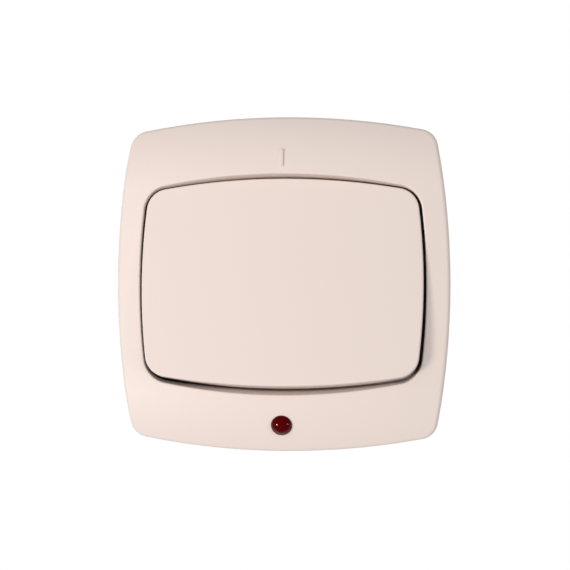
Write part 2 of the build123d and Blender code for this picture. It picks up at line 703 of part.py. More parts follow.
# Mechanism base
with BuildPart() as mechanism_base:
    with BuildSketch(level(BASE_REAR)):
        RectangleRounded(2 * BASE_HALF_X, 2 * BASE_HALF_Z, BASE_CORNER)
    extrude(amount=-BASE_REAR)
    fillet(faces().sort_by(Axis.Y)[-1].edges(), BASE_EDGE)
    # Bearing ears for the trunnions
    for side in (-1, 1):
        with BuildSketch(Plane.YZ.offset(side * EAR_INNER)):
            with Locations((-PIVOT_HEIGHT, 0)):
                Circle(EAR_RADIUS)
            with Locations(((EAR_ROOT - PIVOT_HEIGHT) / 2, 0)):
                Rectangle(PIVOT_HEIGHT + EAR_ROOT, 2 * EAR_RADIUS)
        extrude(amount=side * EAR_THICK)
    with BuildSketch(Plane.YZ):
        with Locations((-PIVOT_HEIGHT, 0)):
            Circle(TRUNNION_RADIUS + TRUNNION_FIT)
    extrude(amount=EAR_INNER + EAR_THICK + OVERSHOOT, both=True, mode=Mode.SUBTRACT)
    # Contact chamber
    with BuildSketch(wall):
        RectangleRounded(2 * CHAMBER_HALF_X, 2 * CHAMBER_HALF_Z, CHAMBER_CORNER)
    extrude(amount=CHAMBER_FLOOR, mode=Mode.SUBTRACT)
    # Stop under the see-saw's upper arm
    stop_up = SEESAW_HALF - STOP_INSET
    stop_drop = STOP_GAP + (stop_up + STOP_HALF) * sin(TILT) + SEESAW_BACK * cos(TILT)
    with BuildSketch(level(CHAMBER_FLOOR)):
        with Locations((0, stop_up)):
            Rectangle(2 * SEESAW_HALF_WIDTH, 2 * STOP_HALF)
    extrude(amount=SEESAW_HEIGHT - stop_drop - CHAMBER_FLOOR)
    # Terminal pockets, the upper pair spare
    pocket_front = STRIP_FRONT + STRIP_FIT
    with BuildSketch(level(BASE_REAR)):
        with GridLocations(2 * POCKET_X, 2 * BLOCK_DROP, 2, 2):
            Rectangle(BLOCK_WIDTH + 2 * POCKET_FIT, BLOCK_HEIGHT + 2 * POCKET_FIT)
    extrude(amount=pocket_front - BASE_REAR, mode=Mode.SUBTRACT)
    # Slots in the partitions for the two strips
    slot_start = CHAMBER_HALF_X - OVERSHOOT
    slot_end = TAIL_END + STRIP_FIT
    slot_x = (slot_start + slot_end) / 2
    with BuildSketch(level(CHAMBER_FLOOR)):
        with Locations((-slot_x, -BLOCK_DROP)):
            Rectangle(slot_end - slot_start, 2 * (TAIL_HALF + STRIP_FIT))
        with Locations((slot_x, FIXED_UP)):
            Rectangle(slot_end - slot_start, 2 * (FIXED_HALF + STRIP_FIT))
    extrude(amount=STRIP_THICK + STRIP_FIT, mode=Mode.SUBTRACT)
    # Wire entries from below, and small holes for the lamp leads
    with BuildSketch(Plane.XY.offset(-BASE_HALF_Z)):
        with GridLocations(2 * POCKET_X, 0, 2, 1):
            with Locations((0, -WIRE_HEIGHT)):
                Circle(WIRE_ENTRY)
        with GridLocations(2 * LEAD_X, 0, 2, 1):
            with Locations((0, LEAD_DEPTH)):
                Circle(LEAD_RADIUS + LEAD_FIT)
    extrude(amount=BASE_HALF_Z - CHAMBER_HALF_Z + OVERSHOOT, mode=Mode.SUBTRACT)
    # Moulded-out cells in the rear
    with BuildSketch(level(BASE_REAR)):
        with GridLocations(CELL + CELL_RIB, CELL + CELL_RIB, 2, 3):
            Rectangle(CELL, CELL)
    extrude(amount=CELL_DEPTH, mode=Mode.SUBTRACT)
    # Recesses for the claws, with their pivot holes
    for side in (-1, 1):
        with BuildSketch(level(BASE_REAR)):
            with Locations((side * (BASE_HALF_X + (OVERSHOOT - CLAW_RECESS) / 2), 0)):
                Rectangle(CLAW_RECESS + OVERSHOOT, 2 * (CLAW_HALF + CLAW_ROOM))
        extrude(amount=-BASE_REAR, mode=Mode.SUBTRACT)
    with BuildSketch(Plane.XY):
        with GridLocations(2 * CLAW_PIVOT_X, 0, 2, 1):
            with Locations((0, CLAW_PIVOT_DEPTH)):
                Circle(CLAW_PIN + TRUNNION_FIT)
    extrude(amount=CLAW_HALF + CLAW_PIN_LENGTH + CLAW_PIN_END, both=True, mode=Mode.SUBTRACT)
    # Grooves for the lips of the support's tabs
    for side in (-1, 1):
        with BuildSketch(level(-TAB_REACH + STRIP_FIT)):
            with Locations((-TAB_X, side * BASE_HALF_Z), (TAB_X, side * BASE_HALF_Z)):
                Rectangle(TAB_WIDTH + 2 * TAB_FIT, 2 * TAB_LIP)
        extrude(amount=-SUPPORT_THICK - 2 * STRIP_FIT, mode=Mode.SUBTRACT)

# Support plate
with BuildPart() as support_plate:
    with BuildSketch(wall):
        RectangleRounded(SUPPORT_SIDE, SUPPORT_SIDE, SUPPORT_CORNER)
        Rectangle(2 * (EAR_INNER + EAR_THICK + EAR_ROOM), 2 * SUPPORT_WINDOW_UP, mode=Mode.SUBTRACT)
        with GridLocations(BOX_SPACING, 0, 2, 1):
            SlotOverall(BOX_SLOT_LENGTH, BOX_SLOT_WIDTH, mode=Mode.SUBTRACT)
        with GridLocations(2 * CLAW_SCREW_X, 0, 2, 1):
            Circle(CLAW_SCREW_RADIUS + SCREW_CLEARANCE, mode=Mode.SUBTRACT)
        notch_depth = SUPPORT_SIDE / 2 - NOTCH_TOP
        with Locations((0, -SUPPORT_SIDE / 2 + notch_depth / 2)):
            Rectangle(2 * NOTCH_HALF, notch_depth, mode=Mode.SUBTRACT)
    extrude(amount=SUPPORT_THICK)
    # Drawn collars for the frame screws
    with BuildSketch(level(-COLLAR_DEPTH)):
        with GridLocations(0, 2 * FRAME_SCREW_UP, 1, 2):
            Circle(FRAME_SCREW_RADIUS + SCREW_FIT + COLLAR_WALL)
    extrude(amount=COLLAR_DEPTH)
    with BuildSketch(level(-COLLAR_DEPTH)):
        with GridLocations(0, 2 * FRAME_SCREW_UP, 1, 2):
            Circle(FRAME_SCREW_RADIUS + SCREW_FIT)
    extrude(amount=COLLAR_DEPTH + SUPPORT_THICK, mode=Mode.SUBTRACT)
    # Tabs bent back along the base, with lips that hold it
    for side in (-1, 1):
        tab_up = side * (BASE_HALF_Z + SCREW_FIT + SUPPORT_THICK / 2)
        with BuildSketch(level(-TAB_REACH - SUPPORT_THICK)):
            with Locations((-TAB_X, tab_up), (TAB_X, tab_up)):
                Rectangle(TAB_WIDTH, SUPPORT_THICK)
        extrude(amount=TAB_REACH + 2 * SUPPORT_THICK)
        lip_width = SUPPORT_THICK + SCREW_FIT + TAB_LIP - TAB_FIT
        lip_up = side * (BASE_HALF_Z + SCREW_FIT + SUPPORT_THICK - lip_width / 2)
        with BuildSketch(level(-TAB_REACH - SUPPORT_THICK)):
            with Locations((-TAB_X, lip_up), (TAB_X, lip_up)):
                Rectangle(TAB_WIDTH, lip_width)
        extrude(amount=SUPPORT_THICK)


# Spreading claws
def claw(side):
    """Bent steel claw on one side: eye and pins, slotted arm, long arm and teeth."""
    slope = radians(CLAW_SLOPE)
    elbow_x = CLAW_PIVOT_X + CLAW_ARM * cos(slope)
    elbow_y = CLAW_PIVOT_DEPTH + CLAW_ARM * sin(slope)
    end_y = elbow_y + CLAW_LENGTH
    with BuildPart() as body:
        with BuildSketch(Plane.XY):
            with BuildLine() as spine:
                FilletPolyline(
                    (side * CLAW_PIVOT_X, CLAW_PIVOT_DEPTH),
                    (side * elbow_x, elbow_y),
                    (side * elbow_x, end_y),
                    (side * (elbow_x + CLAW_TOOTH), end_y + CLAW_FLARE),
                    radius=CLAW_BEND,
                )
            trace(spine.edges(), line_width=CLAW_THICK)
            with Locations((side * CLAW_PIVOT_X, CLAW_PIVOT_DEPTH)):
                Circle(CLAW_EYE)
        extrude(amount=CLAW_HALF, both=True)
        with BuildSketch(Plane.XY):
            with Locations((side * CLAW_PIVOT_X, CLAW_PIVOT_DEPTH)):
                Circle(CLAW_PIN)
        extrude(amount=CLAW_HALF + CLAW_PIN_LENGTH, both=True)
        # Slot that the claw screw keeps clear of over the whole swing
        arm = Vector(side * cos(slope), sin(slope), 0)
        along = Plane(
            origin=(side * CLAW_PIVOT_X, CLAW_PIVOT_DEPTH, 0),
            x_dir=arm,
            z_dir=(side * sin(slope), -cos(slope), 0),
        )
        offset_x = CLAW_SCREW_X - CLAW_PIVOT_X
        swung = radians(CLAW_SLOPE - CLAW_SWING)
        shift = CLAW_THICK / 2 * tan(slope) + CLAW_SLOT_PLAY
        near = (offset_x - CLAW_SCREW_RADIUS) / cos(swung) - shift
        far = (offset_x + CLAW_SCREW_RADIUS) / cos(slope) + shift
        with BuildSketch(along):
            with Locations(((near + far) / 2, 0)):
                Rectangle(far - near, 2 * (CLAW_SCREW_RADIUS + CLAW_SLOT_PLAY))
        extrude(amount=3 * CLAW_THICK, both=True, mode=Mode.SUBTRACT)
        # Teeth along the end
        with BuildSketch(level(-end_y - CLAW_FLARE - CLAW_THICK)):
            with GridLocations(0, 2 * CLAW_HALF / 3, 1, 4):
                with Locations((side * (elbow_x + CLAW_TOOTH), 0)):
                    RegularPolygon(CLAW_NOTCH, 4)
        extrude(amount=CLAW_FLARE + 3 * CLAW_THICK, mode=Mode.SUBTRACT)
    return body.part


claw_left = claw(-1)
claw_right = claw(1)

# Claw screws, with their heads on the support plate
claw_screws = screws(
    level(SUPPORT_THICK),
    [(CLAW_SCREW_X, 0), (-CLAW_SCREW_X, 0)],
    CLAW_SCREW_RADIUS,
    CLAW_SCREW_LENGTH,
    CLAW_SCREW_HEAD,
    CLAW_SCREW_HEAD_THICK,
)

# Lamp holder, clipped over the edge of the support's notch
with BuildPart() as lamp_holder:
    low = -RESISTOR_DOWN - RESISTOR_RADIUS - HOLDER_EDGE
    edge = -NOTCH_TOP - HOLDER_PLAY
    step = -NOTCH_TOP - GRIP
    grip = -NOTCH_TOP + GRIP
    with BuildSketch(side_of(wall)):
        with BuildLine():
            Polyline(
                (low, HOLDER_PLAY),
                (low, HOLDER_FRONT),
                (step, HOLDER_FRONT),
                (step, SUPPORT_THICK + GRIP_FRONT),
                (grip, SUPPORT_THICK + GRIP_FRONT),
                (grip, SUPPORT_THICK),
                (edge, SUPPORT_THICK),
                (edge, 0),
                (grip, 0),
                (grip, -GRIP_BACK),
                (step, -GRIP_BACK),
                (step, HOLDER_PLAY),
                close=True,
            )
        make_face()
    extrude(amount=HOLDER_HALF, both=True)
    # Two cradles for the lamp and its resistor
    cradle_foot = HOLDER_FRONT / 2
    cradle_end = -NOTCH_TOP - CRADLE_WALL
    for side in (-1, 1):
        with BuildSketch(side_of(wall).offset(side * CRADLE_X - CRADLE_THICK / 2)):
            with BuildLine():
                Polyline(
                    (low, cradle_foot),
                    (low, RESISTOR_HEIGHT + CRADLE_LIP),
                    (-LAMP_DOWN - LAMP_RADIUS, LAMP_HEIGHT + CRADLE_LIP),
                    (cradle_end, LAMP_HEIGHT + CRADLE_LIP),
                    (cradle_end, cradle_foot),
                    close=True,
                )
            make_face()
        extrude(amount=CRADLE_THICK)
    with BuildSketch(side_of(wall)):
        with Locations((-LAMP_DOWN, LAMP_HEIGHT)):
            Circle(LAMP_RADIUS + SCREW_FIT)
        with Locations((-LAMP_DOWN, LAMP_HEIGHT + LAMP_RADIUS)):
            Rectangle(2 * LAMP_RADIUS - CRADLE_LIP, 2 * LAMP_RADIUS)
        with Locations((-RESISTOR_DOWN, RESISTOR_HEIGHT)):
            Circle(RESISTOR_RADIUS + SCREW_FIT)
        with Locations((-RESISTOR_DOWN, RESISTOR_HEIGHT + RESISTOR_RADIUS)):
            Rectangle(2 * RESISTOR_RADIUS - CRADLE_LIP, 2 * RESISTOR_RADIUS)
    extrude(amount=HOLDER_HALF + OVERSHOOT, both=True, mode=Mode.SUBTRACT)

# Glow lamp: a glass tube with a rounded end and a drawn-off point
with BuildPart() as neon_lamp:
    with BuildSketch(Plane(origin=(0, -LAMP_HEIGHT, -LAMP_DOWN), x_dir=right, z_dir=(0, -1, 0))):
        end = LAMP_LENGTH / 2
        nose = end - PIP_LENGTH - LAMP_RADIUS
        pip_angle = degrees(asin(PIP_RADIUS / LAMP_RADIUS))
        with BuildLine():
            Polyline(
                (-end, 0),
                (-end, LAMP_RADIUS - LAMP_BEVEL),
                (-end + LAMP_BEVEL, LAMP_RADIUS),
                (nose, LAMP_RADIUS),
            )
            dome_line = CenterArc((nose, 0), LAMP_RADIUS, pip_angle, 90 - pip_angle)
            Polyline(dome_line @ 0, (end, 0), (-end, 0))
        make_face()
    revolve(axis=Axis((0, -LAMP_HEIGHT, -LAMP_DOWN), (1, 0, 0)))


def bends(points):
    """Bend radius at each inner point, as large as its two runs allow."""
    runs = [Vector(b) - Vector(a) for a, b in zip(points, points[1:])]
    turns = [radians(a.get_angle(b)) for a, b in zip(runs, runs[1:])]
    shorter = [min(a.length, b.length) for a, b in zip(runs, runs[1:])]
    return [LEAD_EASE * run / tan(turn / 2) for run, turn in zip(shorter, turns)]


# Series resistor with the bare wire that joins it to the lamp
with BuildPart() as lamp_resistor:
    with BuildSketch(side_of(wall).offset(-RESISTOR_LENGTH / 2)):
        with Locations((-RESISTOR_DOWN, RESISTOR_HEIGHT)):
            Circle(RESISTOR_RADIUS)
    extrude(amount=RESISTOR_LENGTH)
    link_x = LAMP_LENGTH / 2 + LINK_OUT
    link_down = LAMP_DOWN + LAMP_RADIUS / 2
    link_points = [
        (-RESISTOR_LENGTH / 2 + LINK_ROOT, -RESISTOR_HEIGHT, -RESISTOR_DOWN),
        (-link_x, -RESISTOR_HEIGHT, -RESISTOR_DOWN),
        (-link_x, -LAMP_HEIGHT, -link_down),
        (-LAMP_LENGTH / 2, -LAMP_HEIGHT, -link_down),
    ]
    with BuildLine() as link:
        FilletPolyline(*link_points, radius=bends(link_points))
    with BuildSketch(Plane(origin=link.line @ 0, z_dir=link.line % 0)):
        Circle(LINK_RADIUS)
    sweep(path=link.line)


# Insulated lamp leads, through the support's notch to the contact strips
def lead(points):
    """Round wire along a path with tangent bends."""
    with BuildPart() as wire:
        with BuildLine() as path:
            FilletPolyline(*points, radius=bends(points))
        with BuildSketch(Plane(origin=path.line @ 0, z_dir=path.line % 0)):
            Circle(LEAD_RADIUS)
        sweep(path=path.line)
    return wire.part


def lead_tail(side):
    """Shared run of a lead: back through the notch, then up into the chamber."""
    return [
        (side * LEAD_OUT, LEAD_TURN_DEPTH, -NOTCH_TOP - LEAD_TURN_DOWN),
        (side * LEAD_X, LEAD_DEPTH, -BASE_HALF_Z - LEAD_BELOW),
        (side * LEAD_X, LEAD_DEPTH, FIXED_UP - FIXED_HALF + LEAD_END),
        (side * LEAD_X, -STRIP_FRONT, FIXED_UP - FIXED_HALF + LEAD_END),
    ]


lamp_lead_left = lead(
    [
        (-LAMP_LENGTH / 2, -LAMP_HEIGHT, -LAMP_DOWN + LAMP_RADIUS / 2),
        (-LEAD_OUT, -LAMP_HEIGHT, -LAMP_DOWN + LAMP_RADIUS / 2),
    ]
    + lead_tail(-1)
)
lamp_lead_right = lead(
    [
        (RESISTOR_LENGTH / 2, -RESISTOR_HEIGHT, -RESISTOR_DOWN),
        (LEAD_OUT, -RESISTOR_HEIGHT, -RESISTOR_DOWN),
        (LEAD_OUT, -RESISTOR_HEIGHT, -NOTCH_TOP - LEAD_TURN_DOWN),
    ]
    + lead_tail(1)
)

# One file for each piece
pieces = {
    "cover_frame": cover_frame.part,
    "rocker_key": rocker_key.part,
    "indicator_lens": indicator_lens.part,
    "frame_screws": frame_screws,
    "support_plate": support_plate.part,
    "mechanism_base": mechanism_base.part,
    "rocker_carrier": rocker_carrier.part,
    "contact_plunger": contact_plunger.part,
    "plunger_spring": plunger_spring.part,
    "seesaw_contact": seesaw_contact.part,
    "seesaw_tip": seesaw_tip.part,
    "pivot_contact": pivot_contact.part,
    "fixed_contact": fixed_contact.part,
    "fixed_tip": fixed_tip.part,
    "terminal_block_left": terminal_block_left,
    "terminal_block_right": terminal_block_right,
    "terminal_screws": terminal_screws,
    "claw_left": claw_left,
    "claw_right": claw_right,
    "claw_screws": claw_screws,
    "lamp_holder": lamp_holder.part,
    "neon_lamp": neon_lamp.part,
    "lamp_resistor": lamp_resistor.part,
    "lamp_lead_left": lamp_lead_left,
    "lamp_lead_right": lamp_lead_right,
}
for name, piece in pieces.items():
    piece.label = name
    export_step(piece, f"parts/{name}.step")
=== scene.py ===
import json
import math

import bmesh
import bpy
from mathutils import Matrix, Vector
from mathutils.bvhtree import BVHTree
from mathutils.geometry import intersect_point_line
from mathutils.kdtree import KDTree


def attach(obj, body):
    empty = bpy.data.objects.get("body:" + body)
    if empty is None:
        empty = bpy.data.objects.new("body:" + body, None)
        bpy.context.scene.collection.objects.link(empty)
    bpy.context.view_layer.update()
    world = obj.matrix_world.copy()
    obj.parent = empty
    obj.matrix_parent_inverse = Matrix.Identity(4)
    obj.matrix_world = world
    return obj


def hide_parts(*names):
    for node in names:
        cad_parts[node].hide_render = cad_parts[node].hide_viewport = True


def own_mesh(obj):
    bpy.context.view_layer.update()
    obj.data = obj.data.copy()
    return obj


# Flush rocker light switch with an indicator lens. Metres; the room lies towards -Y.
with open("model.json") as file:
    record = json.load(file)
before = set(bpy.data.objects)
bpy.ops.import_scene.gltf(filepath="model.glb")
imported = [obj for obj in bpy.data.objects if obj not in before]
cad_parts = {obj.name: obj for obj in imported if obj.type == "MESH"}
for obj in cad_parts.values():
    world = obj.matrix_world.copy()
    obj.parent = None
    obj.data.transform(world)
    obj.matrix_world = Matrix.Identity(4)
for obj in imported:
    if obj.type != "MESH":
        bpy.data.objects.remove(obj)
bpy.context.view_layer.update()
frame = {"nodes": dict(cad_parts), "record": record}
nodes = frame["nodes"]
slot_of = {row["node"]: row["material_slot"] for row in frame["record"]["subparts"]}
scene = bpy.context.scene
MM = 0.001

# Sizes shared with the solids, in millimetres, and the key's tilt at rest
FRAME_CREST = 10.4
FRAME_STRAIGHT = 24.0
FRAME_ROLL = 32.0
PIVOT_HEIGHT = 3.5
ROCK_ANGLE = math.radians(4.5)

# Camera, from the photograph
CAMERA_AZIMUTH = 5.0
CAMERA_ELEVATION = 0.3
CAMERA_DISTANCE = 0.38
VIEW_WIDTH = 0.13807
SENSOR = 36.0
NEAREST = 0.05
FARTHEST = 50.0
AIM = Vector((0.0006, -0.006, -0.00018))


def direction(azimuth, elevation):
    """Unit vector from the switch towards an azimuth right of its front and a height."""
    a, e = math.radians(azimuth), math.radians(elevation)
    return Vector((math.sin(a) * math.cos(e), -math.cos(a) * math.cos(e), math.sin(e)))


# Shader building
def socket(tree, name, kind, way):
    return tree.interface.new_socket(name=name, in_out=way, socket_type=kind)


def shader_group(name, inputs, outputs):
    """Empty node group with float inputs and outputs, with its two end nodes."""
    tree = bpy.data.node_groups.new(name, "ShaderNodeTree")
    for label in inputs:
        socket(tree, label, "NodeSocketFloat", "INPUT")
    for label in outputs:
        socket(tree, label, "NodeSocketFloat", "OUTPUT")
    return tree, tree.nodes.new("NodeGroupInput"), tree.nodes.new("NodeGroupOutput")


def add(tree, kind, values=None, **settings):
    """Adds a node, with settings on it and values or links on its inputs."""
    node = tree.nodes.new(kind)
    for key, value in settings.items():
        setattr(node, key, value)
    for key, value in (values or {}).items():
        if isinstance(value, bpy.types.NodeSocket):
            tree.links.new(value, node.inputs[key])
        else:
            node.inputs[key].default_value = value
    return node


def maths(tree, operation, first, second=None):
    """Value of a sum on one or two sockets or numbers."""
    node = add(tree, "ShaderNodeMath", operation=operation)
    for place, value in ((0, first), (1, second)):
        if isinstance(value, bpy.types.NodeSocket):
            tree.links.new(value, node.inputs[place])
        elif value is not None:
            node.inputs[place].default_value = value
    return node.outputs[0]


def between(tree, value, low, high, start=0.0, end=1.0):
    """Value that runs from start to end while another runs from low to high."""
    values = {"Value": value, "From Min": low, "From Max": high, "To Min": start, "To Max": end}
    return add(tree, "ShaderNodeMapRange", values).outputs["Result"]


def own_place(tree):
    """Socket of the object's own coordinates."""
    return add(tree, "ShaderNodeTexCoord").outputs["Object"]


def own_axes(tree):
    """Sockets of the object's own X, Y and Z."""
    return add(tree, "ShaderNodeSeparateXYZ", {"Vector": own_place(tree)}).outputs


def noise(tree, where, scale, detail):
    values = {"Vector": where, "Scale": scale, "Detail": detail}
    return add(tree, "ShaderNodeTexNoise", values).outputs["Fac"]


def grain_group():
    """Moulded plastic: slow change of tone and a fine grain."""
    tree, start, end = shader_group("moulded_grain", ["Tone Scale", "Grain Scale"], ["Tone", "Grain"])
    where = own_place(tree)
    tree.links.new(noise(tree, where, start.outputs["Tone Scale"], detail=3.0), end.inputs["Tone"])
    tree.links.new(noise(tree, where, start.outputs["Grain Scale"], detail=2.0), end.inputs["Grain"])
    return tree


DRAWN_ALONG_X = (0.06, 1.0, 1.0)


def metal_group():
    """Rolled or plated metal: drawn streaks along X and small crystals of plating."""
    tree, start, end = shader_group("worked_metal", ["Streak Scale", "Crystal Scale"], ["Streak", "Crystal"])
    where = own_place(tree)
    drawn = add(tree, "ShaderNodeMapping", {"Vector": where, "Scale": DRAWN_ALONG_X}).outputs["Vector"]
    cells = {"Vector": where, "Scale": start.outputs["Crystal Scale"]}
    crystal = add(tree, "ShaderNodeTexVoronoi", cells).outputs["Color"]
    shade = add(tree, "ShaderNodeSeparateColor", {"Color": crystal}).outputs["Red"]
    tree.links.new(noise(tree, drawn, start.outputs["Streak Scale"], detail=4.0), end.inputs["Streak"])
    tree.links.new(shade, end.inputs["Crystal"])
    return tree


# Painted shade deep in the gap around the key: a dark brown colour, with heights in millimetres from the wall
# or from the key's pivot
GAP_SHADE_COLOUR = (0.085, 0.062, 0.050)
WELL_SHADE_START = 6.2
WELL_SHADE_FULL = 5.0
WELL_FLOOR = 1.8
WELL_HALF_X = 35.3
WELL_HALF_Z = 27.5
SHADE_FROM_X = 11.0
SHADE_FULL_X = 26.0
LOW_FROM_Z = 16.0
LOW_FULL_Z = 24.0
LOW_RIGHT_SHIFT = 14.0
KEY_SHADE_START = 4.6
KEY_SHADE_FULL = 3.4


def painted_shade_group():
    """Painted shade that grows with depth and towards the sides, starting later at the lower right, which is
    left lighter.
    """
    tree, start, end = shader_group("gap_painted_shade", ["Height", "Shade Start", "Dusty"], ["Dust"])
    spot = own_axes(tree)
    deep = between(tree, start.outputs["Height"], start.outputs["Shade Start"], start.outputs["Dusty"])
    under = maths(tree, "MULTIPLY", spot["Z"], -1.0)
    low = between(tree, under, LOW_FROM_Z * MM, LOW_FULL_Z * MM)
    right = maths(tree, "GREATER_THAN", spot["X"], 0.0)
    shift = maths(tree, "MULTIPLY", maths(tree, "MULTIPLY", low, right), LOW_RIGHT_SHIFT * MM)
    across = maths(tree, "SUBTRACT", maths(tree, "ABSOLUTE", spot["X"]), shift)
    aside = between(tree, across, SHADE_FROM_X * MM, SHADE_FULL_X * MM)
    tree.links.new(maths(tree, "MULTIPLY", deep, aside), end.inputs["Dust"])
    return tree


MOULDED = grain_group()
METAL = metal_group()
# Node group of the painted shade in the key's gap
PAINTED_SHADE_TREE = painted_shade_group()


def painted_shade_mask(tree, height, shade_start, shade_full):
    """Painted shade mask of one piece, from a height and the heights where the shade begins and is full."""
    values = {"Height": height, "Shade Start": shade_start * MM, "Dusty": shade_full * MM}
    return add(tree, "ShaderNodeGroup", values, node_tree=PAINTED_SHADE_TREE).outputs["Dust"]


def well_painted_shade(tree):
    """Painted shade on the lower walls and floor of the key's well in the frame."""
    spot = own_axes(tree)
    height = maths(tree, "MULTIPLY", spot["Y"], -1.0)
    deep = painted_shade_mask(tree, height, WELL_SHADE_START, WELL_SHADE_FULL)
    wide = maths(tree, "LESS_THAN", maths(tree, "ABSOLUTE", spot["X"]), WELL_HALF_X * MM)
    tall = maths(tree, "LESS_THAN", maths(tree, "ABSOLUTE", spot["Z"]), WELL_HALF_Z * MM)
    front = maths(tree, "GREATER_THAN", height, WELL_FLOOR * MM)
    inside = maths(tree, "MULTIPLY", wide, tall)
    return maths(tree, "MULTIPLY", maths(tree, "MULTIPLY", deep, front), inside)


def skirt_painted_shade(tree):
    """Painted shade on the lower part of the key's skirt, measured square to the tilted key."""
    spot = own_axes(tree)
    out = maths(tree, "MULTIPLY", spot["Y"], -math.cos(ROCK_ANGLE))
    up = maths(tree, "MULTIPLY", spot["Z"], math.sin(ROCK_ANGLE))
    level = PIVOT_HEIGHT * math.cos(ROCK_ANGLE)
    return painted_shade_mask(tree, maths(tree, "ADD", out, up), KEY_SHADE_START + level, KEY_SHADE_FULL + level)


def material(name):
    """Material with an output and a Principled shader, and its tree."""
    made = bpy.data.materials.new(name)
    made.use_nodes = True
    tree = made.node_tree
    return made, tree, tree.nodes["Principled BSDF"]


NOISE_LOW = 0.3
NOISE_HIGH = 0.7


def spread(tree, mask, low, high):
    """Value that runs from low to high with a noise mask."""
    return between(tree, mask, NOISE_LOW, NOISE_HIGH, low, high)


def tint(tree, mask, first, second):
    """Colour that runs between two colours, or from a socket's colour, with a mask."""
    ends = [c if isinstance(c, bpy.types.NodeSocket) else (*c, 1.0) for c in (first, second)]
    values = {"Factor": mask, "A": ends[0], "B": ends[1]}
    return add(tree, "ShaderNodeMix", values, data_type="RGBA").outputs["Result"]


def bump(tree, height, strength, distance):
    values = {"Height": height, "Strength": strength, "Distance": distance * MM}
    return add(tree, "ShaderNodeBump", values).outputs["Normal"]


def moulded_skin(tree, tone_scale, grain_scale):
    """Tone and grain masks of a moulded surface."""
    values = {"Tone Scale": tone_scale, "Grain Scale": grain_scale}
    return add(tree, "ShaderNodeGroup", values, node_tree=MOULDED).outputs


MOULDED_SCALES = (90.0, 5200.0)
MOULDED_BUMP = (0.12, 0.02)
METAL_SCALES = {"Streak Scale": 900.0, "Crystal Scale": 2600.0}
METAL_BUMP = (0.25, 0.01)


def moulded_plastic(name, first, second, rough, shade_mask=None):
    """Moulded plastic with two close tones, a gloss that varies, a fine grain and maybe painted shade in a
    gap.
    """
    made, tree, shader = material(name)
    skin = moulded_skin(tree, *MOULDED_SCALES)
    colour = tint(tree, skin["Tone"], first, second)
    if shade_mask:
        # Painted shade: the cream darkens towards a dark brown where the mask says the gap is deep
        colour = tint(tree, shade_mask(tree), colour, GAP_SHADE_COLOUR)
    tree.links.new(colour, shader.inputs["Base Color"])
    tree.links.new(spread(tree, skin["Tone"], *rough), shader.inputs["Roughness"])
    tree.links.new(bump(tree, skin["Grain"], *MOULDED_BUMP), shader.inputs["Normal"])
    return made


def worked_metal(name, first, second, rough):
    """Bare or plated metal with streaks and fine crystals."""
    made, tree, shader = material(name)
    skin = add(tree, "ShaderNodeGroup", METAL_SCALES, node_tree=METAL).outputs
    tree.links.new(tint(tree, skin["Crystal"], first, second), shader.inputs["Base Color"])
    tree.links.new(spread(tree, skin["Streak"], *rough), shader.inputs["Roughness"])
    tree.links.new(bump(tree, skin["Streak"], *METAL_BUMP), shader.inputs["Normal"])
    shader.inputs["Metallic"].default_value = 1.0
    return made


CREAM = ((0.835, 0.727, 0.674), (0.820, 0.715, 0.664), (0.45, 0.51))
cream = moulded_plastic("cream_plastic", *CREAM)
# Cream copies for the frame and key, with painted shade deep in the gap around the key
frame_cream_shaded = moulded_plastic("frame_cream_shaded", *CREAM, shade_mask=well_painted_shade)
key_cream_shaded = moulded_plastic("key_cream_shaded", *CREAM, shade_mask=skirt_painted_shade)
base_plastic = moulded_plastic("base_plastic", (0.74, 0.73, 0.69), (0.70, 0.69, 0.65), (0.48, 0.58))
carrier_plastic = moulded_plastic("carrier_plastic", (0.55, 0.55, 0.53), (0.50, 0.50, 0.49), (0.45, 0.55))
plunger_plastic = moulded_plastic("plunger_plastic", (0.80, 0.76, 0.66), (0.76, 0.72, 0.62), (0.30, 0.40))
lead_cover = moulded_plastic("lead_cover", (0.72, 0.72, 0.70), (0.66, 0.66, 0.64), (0.40, 0.50))
zinc = worked_metal("zinc_steel", (0.64, 0.66, 0.67), (0.54, 0.57, 0.60), (0.26, 0.42))
spring_steel = worked_metal("spring_steel", (0.46, 0.46, 0.47), (0.40, 0.40, 0.41), (0.24, 0.36))
brass = worked_metal("brass", (0.80, 0.58, 0.23), (0.72, 0.51, 0.19), (0.24, 0.38))
silver = worked_metal("silver", (0.90, 0.89, 0.86), (0.84, 0.83, 0.81), (0.20, 0.34))


LENS_REDS = ((0.30, 0.0020, 0.006), (0.24, 0.0015, 0.004))
LENS_SCALES = (300.0, 900.0)
LENS_ROUGH = (0.06, 0.12)
LENS_CLEAR = 0.7
LENS_IOR = 1.28


def red_lens():
    """Dark red clear plastic, polished."""
    made, tree, shader = material("red_lens")
    skin = moulded_skin(tree, *LENS_SCALES)
    tree.links.new(tint(tree, skin["Tone"], *LENS_REDS), shader.inputs["Base Color"])
    tree.links.new(spread(tree, skin["Grain"], *LENS_ROUGH), shader.inputs["Roughness"])
    shader.inputs["Transmission Weight"].default_value = LENS_CLEAR
    shader.inputs["IOR"].default_value = LENS_IOR
    return made


GLASS_SCALES = (400.0, 1500.0)
GLASS_ROUGH = (0.0, 0.06)
GLASS_IOR = 1.5


def lamp_glass():
    """Clear glass of the glow lamp, faintly uneven."""
    made, tree, shader = material("lamp_glass")
    skin = moulded_skin(tree, *GLASS_SCALES)
    tree.links.new(spread(tree, skin["Tone"], *GLASS_ROUGH), shader.inputs["Roughness"])
    shader.inputs["Transmission Weight"].default_value = 1.0
    shader.inputs["IOR"].default_value = GLASS_IOR
    return made


